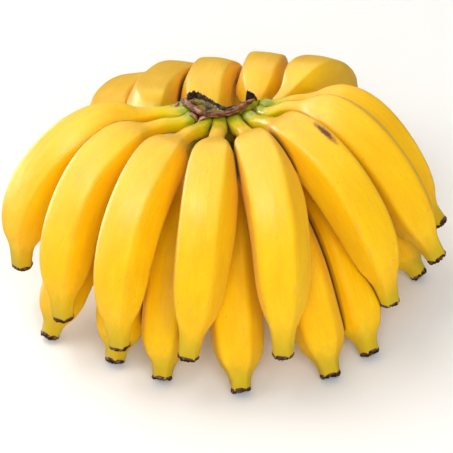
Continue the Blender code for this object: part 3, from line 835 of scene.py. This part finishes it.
def make_fruit(fruit, sizes, colours):
    """A fruit's peel on its fine surface, with any bruise that it has."""
    surface = surface_of(fruit, sizes)
    points = surface.points.copy()
    points[..., 2] = np.maximum(points[..., 2], 0.0)
    mark = np.full(points.shape, FAR_FROM_MARK)
    if fruit.name in BRUISES:
        share, angle, long, wide = BRUISES[fruit.name]
        around = np.mod(surface.grid_angle - math.radians(angle) + math.pi, 2 * math.pi) - math.pi
        mark = np.stack([(surface.grid_share - share) * surface.length / MM / long,
                         around * fruit.girth / wide, np.zeros(around.shape)], axis=2)
    mesh = grid_mesh("peel_" + fruit.name, points, attributes={
        "peel_place": surface.place, "peel_share": surface.grid_share, "peel_ridge": surface.ridge,
        "peel_crease": surface.crease, "peel_mark": mark})
    link_piece(mesh, material_of("peel", colours), "peel", "banana_" + fruit.name)


def make_scar(fruit, sizes, colours):
    """The dried end of the flower: a ragged cup, wider at its mouth, with a hollow middle."""
    surface = surface_of(fruit, sizes)
    chance = np.random.default_rng(700 + FRUITS.index(fruit))
    hub, way, outer, side = surface.tip_frame()
    spoke = spokes(all_round(SCAR_SIDES), outer, side)
    wide = np.linalg.norm(surface.points[-1] - hub, axis=1).mean()
    teeth = np.append(chance.random(SCAR_TEETH), 0.5)
    ragged = np.interp(np.arange(SCAR_SIDES), np.linspace(0, SCAR_SIDES, SCAR_TEETH + 1), teeth)
    ragged = 0.55 + 0.75 * ragged + chance.normal(0, 0.10, SCAR_SIDES)
    rows = []
    for along, across, rag in SCAR_RINGS:
        push = sizes.scar_length * along * ((1 - rag) + rag * ragged)
        spread = wide * across * (1 + 0.05 * chance.normal(0, 1, SCAR_SIDES) * rag)
        rows.append(hub + way * push[:, None] + spread[:, None] * spoke)
    points = np.array(rows)
    points[..., 2] = np.maximum(points[..., 2], SCAR_CLEAR)
    darker = np.repeat(np.linspace(0.0, 1.0, len(SCAR_RINGS))[:, None], SCAR_SIDES, axis=1)
    mesh = grid_mesh("flower_scar_" + fruit.name, points, caps=(False, True),
                     attributes={"dried_end": darker, "dried_place": points / MM})
    link_piece(mesh, material_of("scar", colours), "dried_brown")


def make_tier(row, scene):
    """The peels of one tier of fruits."""
    for fruit in row:
        make_fruit(fruit, scene.hand_sizes, scene.hand_colours)


class BANANAS_OT_upper_fruits(bpy.types.Operator):
    """Make the upper tier of fruits"""
    bl_idname = "bananas.upper_fruits"
    bl_label = "Upper fruits"

    def execute(self, context):
        make_tier(UPPER_ROW, context.scene)
        return {"FINISHED"}


class BANANAS_OT_lower_fruits(bpy.types.Operator):
    """Make the lower tier of fruits"""
    bl_idname = "bananas.lower_fruits"
    bl_label = "Lower fruits"

    def execute(self, context):
        make_tier(LOWER_ROW, context.scene)
        return {"FINISHED"}


class BANANAS_OT_back_fruits(bpy.types.Operator):
    """Make the fruits at the back of the hand"""
    bl_idname = "bananas.back_fruits"
    bl_label = "Back fruits"

    def execute(self, context):
        make_tier(BACK_ROW, context.scene)
        return {"FINISHED"}


class BANANAS_OT_flower_scars(bpy.types.Operator):
    """Make the dried scar at each fruit's tip, and the threads on one of them"""
    bl_idname = "bananas.flower_scars"
    bl_label = "Flower scars"

    def execute(self, context):
        for fruit in FRUITS:
            make_scar(fruit, context.scene.hand_sizes, context.scene.hand_colours)
        make_threads(context.scene.hand_colours)
        return {"FINISHED"}


def along_path(points, count):
    """Evenly spaced points on a smooth curve through a few corners."""
    corners = np.array(points, dtype=float)
    before = 2 * corners[0] - corners[1]
    after = 2 * corners[-1] - corners[-2]
    padded = np.concatenate([[before], corners, [after]])
    pieces = []
    t = np.linspace(0.0, 1.0, 16, endpoint=False)[:, None]
    for a, b, c, d in zip(padded, padded[1:], padded[2:], padded[3:]):
        pieces.append(0.5 * (2 * b + (c - a) * t + (2 * a - 5 * b + 4 * c - d) * t ** 2
                             + (3 * b - a - 3 * c + d) * t ** 3))
    curve = np.concatenate(pieces + [corners[-1:]])
    run = measured(curve)
    return sampled(curve, run, np.linspace(0.0, run[-1], count))


def crown_wall(height, outer_edge):
    """The wall at a height: round at the bottom, out to the knuckles, then in to the band's edge."""
    turns = np.linspace(*WALL_ENDS, CROWN_STEPS)
    angles, reaches = np.array(sorted(fruit.root[:2] for fruit in UPPER_ROW)).T
    knuckles = np.interp(turns, angles, reaches) - WALL_BEHIND
    plain = np.interp(height, *zip(*WALL_REACH))
    out = ramp(height, WALL_REACH[-1][0], WALL_FULL)
    reach = plain * (1 - out) + knuckles * out
    wall = np.stack([np.cos(np.radians(turns)), np.sin(np.radians(turns))], axis=1) * reach[:, None]
    drawn_in = ramp(height, KNUCKLE_HEIGHT, CROWN_TOP)
    return wall * (1 - drawn_in) + outer_edge * drawn_in


def make_crown(colours):
    """The green block that the necks grow from, its top opened into a crescent."""
    back_edge = along_path(CROWN_BACK_PATH, CROWN_STEPS)
    outer_edge = along_path(BAND_PATH, CROWN_STEPS)
    outer_edge = outer_edge * (1 - TOP_INSIDE / np.linalg.norm(outer_edge, axis=1)[:, None])
    rows = []
    for height in np.linspace(WALL_REACH[0][0], CROWN_TOP, CROWN_RINGS):
        wall = crown_wall(height, outer_edge)
        crescent = ramp(height, *TOP_OPENS)
        straight = np.linspace(CROWN_BACK[0], wall[-1, 0], CROWN_STEPS)
        back = np.stack([straight, np.full(CROWN_STEPS, CROWN_BACK[1])], axis=1)
        back = back * (1 - crescent) + back_edge * crescent
        loop = np.concatenate([wall, back[::-1]])
        rows.append(np.column_stack([loop, np.full(len(loop), height)]))
    middle = rows[-1][:, :2].mean(0)
    sunk = np.column_stack([rows[-1][:, :2] * SUNK_SHARE + middle * (1 - SUNK_SHARE), rows[-1][:, 2] - SUNK])
    points = np.array(rows + [sunk]) * MM
    noise.seed_set(CROWN_SEED)
    for ring in points[:-1]:
        for point in ring:
            point += np.array(noise.noise_vector(Vector(point) / CROWN_WOBBLE[0])) * CROWN_WOBBLE[1]
    mesh = grid_mesh("crown_tissue", points)
    link_piece(mesh, material_of("crown", colours), "crown_green", "crown")


class BANANAS_OT_crown(bpy.types.Operator):
    """Make the green crown"""
    bl_idname = "bananas.crown"
    bl_label = "Crown"

    def execute(self, context):
        make_crown(context.scene.hand_colours)
        return {"FINISHED"}


def scab_strip(name, path, wide, tall, around=20):
    """A dry strip along a path in millimetres, by its half widths and heights, with streaks along it."""
    tangent = unit(np.gradient(path, axis=0))
    across = unit(np.cross(tangent, (0.0, 0.0, 1.0)))
    up = np.cross(across, tangent)
    run = measured(path)
    turns = all_round(around)
    streaks = np.stack([
        np.repeat(run[:, None] * STREAK_SQUEEZE, around, axis=1) + path[0, 0],
        np.outer(wide, np.cos(turns)), np.outer(tall, np.sin(turns))], axis=2)
    rows = []
    for k, middle in enumerate(path):
        ring = []
        for turn in turns:
            c, s = math.cos(turn), math.sin(turn)
            place = Vector((run[k] * WRINKLES[0], c * WRINKLES[1], s * WRINKLES[1]))
            grow = 1 + 0.55 * noise.fractal(place, 0.9, 2.0, 4) + 0.25 * noise.noise(Vector(middle) / 1.9)
            ring.append(middle + (across[k] * c * wide[k] + up[k] * s * tall[k]) * grow)
        rows.append(ring)
    return grid_mesh(name, np.array(rows) * MM, attributes={"dried_place": streaks})


def make_band(sizes, colours):
    """The brown band that dried round the front of the cut, wrinkled along its length."""
    plan = along_path(BAND_PATH, BAND_ROWS)
    share = np.linspace(0.0, 1.0, BAND_ROWS)
    height = [BAND_HEIGHT + 0.5 * noise.noise(Vector((x, y, 4.0)) / 7) for x, y in plan]
    path = np.column_stack([plan, height])
    wide = np.interp(share, *zip(*BAND_WIDE)) * sizes.band_width / (BAND_WIDTH * MM)
    mesh = scab_strip("dried_cut_band", path, wide, np.interp(share, *zip(*BAND_TALL)))
    link_piece(mesh, material_of("scab", colours), "dried_brown", "dried_cut_rim")


def make_scraps(colours):
    """Scraps of dry skin that stuck to the knuckles when the hand was cut."""
    share = np.linspace(0.0, 1.0, SCRAP_ROWS)
    swell = np.sin(math.pi * (0.06 + 0.88 * share)) ** 0.6
    for number, (points, half) in enumerate(SCRAPS, start=1):
        path = along_path(points, SCRAP_ROWS)
        mesh = scab_strip("dry_scrap_%d" % number, path, swell * half, swell * 0.5, around=14)
        link_piece(mesh, material_of("scrap", colours), "dried_brown")


def uneven_line(chance, count, spacing, beyond):
    """Random heights from 0 to 1 along a line of so many points, one drawn at each spacing."""
    knots = np.arange(0, count + beyond, spacing)
    return np.interp(np.arange(count), knots, chance.random(len(knots)))


def torn_sheet(name, path, rise, seed, tooth):
    """A thin papery sheet standing on a path, with a torn top."""
    chance = np.random.default_rng(seed)
    teeth = uneven_line(chance, SHEET_ROWS, 5, 6)
    fine = uneven_line(chance, SHEET_ROWS, 2, 2)
    rises = np.interp(np.linspace(0, 1, SHEET_ROWS), *zip(*rise))
    rises = rises * (1 - tooth + 1.4 * tooth * teeth + 0.3 * tooth * fine)
    rows = []
    for k, (x, y) in enumerate(along_path(path, SHEET_ROWS)):
        front, back = [], []
        for s in np.linspace(0.0, 1.0, SHEET_LEVELS):
            lean = 0.9 * s * s + 0.55 * noise.noise(Vector((k / 8, s * 1.6, seed)))
            thick = SHEET_HALF * (1 - 0.7 * s)
            height = BAND_HEIGHT - SHEET_FOOT + (rises[k] + SHEET_FOOT) * s
            front.append((x, y + lean - thick, height))
            back.append((x, y + lean + thick, height))
        rows.append(front + back[::-1])
    points = np.array(rows)
    return grid_mesh(name, points * MM, attributes={"dried_place": points})


def make_lip(colours):
    """The papery edge that stands up behind the cut, torn along its top, and the flap at its right end."""
    for sheet in (("torn_papery_lip", LIP_PATH, LIP_RISE, 91, 0.45),
                  ("torn_papery_flap", FLAP_PATH, FLAP_RISE, 17, 0.12)):
        link_piece(torn_sheet(*sheet), material_of("papery", colours), "dried_brown")


def make_threads(colours):
    """Dry threads that hang from a flower's scar."""
    hub, way, outer, side = SURFACES[THREADED].tip_frame()
    chance = np.random.default_rng(5)
    steps = np.linspace(0.0, 1.0, THREAD_ROWS)[:, None]
    taper = THREAD_HALF * (1 - 0.7 * steps[:, 0])
    for number, (angle, length) in enumerate(THREADS, start=1):
        start = hub + spokes(np.radians(angle), outer, side) * THREAD_OUT
        path = start + way * steps * length * MM + chance.normal(0, 0.12 * MM, (THREAD_ROWS, 3)) * steps
        mesh = scab_strip("scar_thread_%d" % number, path / MM, taper, taper, around=8)
        link_piece(mesh, material_of("scar", colours), "dried_brown")


def make_cut_face(colours):
    """The cut flesh inside the band, a little hollow."""
    front, back = along_path(BAND_PATH[:CUT_CORNERS], CUT_ROWS), along_path(LIP_PATH, CUT_ROWS)
    rows = []
    for s in np.linspace(0.0, 1.0, CUT_COLUMNS):
        line = front * (1 - s) + back * s
        level = BAND_HEIGHT - 0.2 - CUT_HOLLOW * math.sin(math.pi * s) ** 0.7
        rows.append([(x, y, level + 0.45 * noise.fractal(Vector((x, y, 0.0)) / 3.4, 0.8, 2.0, 3))
                     for x, y in line])
    mesh = grid_mesh("crown_cut_face", np.array(rows) * MM, closed_around=False, caps=(False, False))
    piece = link_piece(mesh, material_of("cut", colours), "crown_green")
    thick = piece.modifiers.new("thickness", "SOLIDIFY")
    thick.thickness = 0.6 * MM
    thick.offset = -1.0


class BANANAS_OT_cut(bpy.types.Operator):
    """Make the cut face with its dried band, scraps and torn edge"""
    bl_idname = "bananas.cut"
    bl_label = "Cut and dried edge"

    def execute(self, context):
        colours = context.scene.hand_colours
        make_cut_face(colours)
        make_band(context.scene.hand_sizes, colours)
        make_scraps(colours)
        make_lip(colours)
        return {"FINISHED"}


def make_camera(looks):
    """The camera at the photograph's angle, which puts its aim on the same pixel of the picture."""
    tilt, roll = math.radians(CAMERA_TILT), math.radians(CAMERA_ROLL)
    forward = Vector((0.0, math.cos(tilt), -math.sin(tilt)))
    up = Vector((0.0, math.sin(tilt), math.cos(tilt)))
    right = Vector((1.0, 0.0, 0.0))
    spot = crown_line() + Vector(AIM_FROM_CROWN) - forward * looks.distance
    camera_right = right * math.cos(roll) + up * math.sin(roll)
    camera_up = up * math.cos(roll) - right * math.sin(roll)
    data = bpy.data.cameras.new("studio_camera")
    data.lens, data.sensor_width = looks.lens, SENSOR
    camera = linked("studio_camera", data)
    rotation = Matrix((camera_right, camera_up, -forward)).transposed().to_4x4()
    pixels = looks.lens / SENSOR * FRAME_PIXELS
    swing_right, swing_down = (math.atan2(at - FRAME_PIXELS / 2, pixels) for at in AIM_PIXEL)
    rotation = rotation @ Matrix.Rotation(swing_right, 4, "Y") @ Matrix.Rotation(swing_down, 4, "X")
    camera.matrix_world = Matrix.Translation(spot) @ rotation
    bpy.context.scene.camera = camera


def make_floor(looks):
    """A plain floor of matt paint, just under the ground so that no face of the fruit lies in it."""
    mesh = bpy.data.meshes.new("floor")
    corners = [(x * FLOOR_HALF, y * FLOOR_HALF, 0) for x, y in ((-1, -1), (1, -1), (1, 1), (-1, 1))]
    mesh.from_pydata(corners, [], [(0, 1, 2, 3)])
    floor = linked("floor", mesh)
    material, tree, shader, _ = fresh_material("painted_studio_floor")
    set_inputs(tree, shader, {"Base Color": tuple(looks.floor), "Roughness": 0.6})
    mesh.materials.append(material)
    floor.location.z = -0.1 * MM
    floor.visible_glossy = False


def make_light(name, place, target, size, power, tint, unseen):
    """An area light that the camera doesn't see, nor the kind of ray that unseen names."""
    data = bpy.data.lights.new(name, "AREA")
    data.shape = "RECTANGLE"
    data.size, data.size_y = size
    data.energy = power
    data.color = linear(tint)[:3]
    light = linked(name, data)
    light.location = place
    light.rotation_euler = (Vector(target) - Vector(place)).to_track_quat("-Z", "Y").to_euler()
    light.visible_camera = False
    light.visible_glossy = unseen != "glossy"
    light.visible_diffuse = unseen != "diffuse"


def make_world(scene):
    """An even white sky, which the peel doesn't mirror."""
    world = scene.world or bpy.data.worlds.new("studio")
    scene.world = world
    world.use_nodes = True
    tree = world.node_tree
    set_inputs(tree, tree.nodes["Background"], {"Color": linear("ffffff"), "Strength": SKY_STRENGTH})
    world.cycles_visibility.glossy = False
    scene.view_settings.view_transform = "Standard"


class BANANAS_OT_studio(bpy.types.Operator):
    """Make the floor, the soft lights and the camera"""
    bl_idname = "bananas.studio"
    bl_label = "Studio"

    def execute(self, context):
        looks = context.scene.studio_looks
        make_floor(looks)
        for name, place, target, size, setting, share, tint, unseen in LIGHTS:
            make_light(name, place, target, size, getattr(looks, setting) * share, tint, unseen)
        make_world(context.scene)
        make_camera(looks)
        return {"FINISHED"}


class BANANAS_PT_panel(bpy.types.Panel):
    """Lists the pieces of the hand in the sidebar"""
    bl_label = "Hand of Bananas"
    bl_idname = "BANANAS_PT_panel"
    bl_space_type = "VIEW_3D"
    bl_region_type = "UI"
    bl_category = "Bananas"

    def draw(self, context):
        for step in STEPS:
            self.layout.operator(step.bl_idname)


STEPS = (
    BANANAS_OT_studio, BANANAS_OT_upper_fruits, BANANAS_OT_lower_fruits, BANANAS_OT_back_fruits,
    BANANAS_OT_flower_scars, BANANAS_OT_crown, BANANAS_OT_cut,
)
CLASSES = (HandSizes, HandColours, StudioLooks) + STEPS + (BANANAS_PT_panel,)


def register():
    for item in CLASSES:
        bpy.utils.register_class(item)
    bpy.types.Scene.hand_sizes = PointerProperty(type=HandSizes)
    bpy.types.Scene.hand_colours = PointerProperty(type=HandColours)
    bpy.types.Scene.studio_looks = PointerProperty(type=StudioLooks)


def unregister():
    del bpy.types.Scene.studio_looks
    del bpy.types.Scene.hand_colours
    del bpy.types.Scene.hand_sizes
    for item in reversed(CLASSES):
        bpy.utils.unregister_class(item)


def main():
    register()
    for step in STEPS:
        group, name = step.bl_idname.split(".")
        getattr(getattr(bpy.ops, group), name)()


if __name__ == "__main__":
    main()
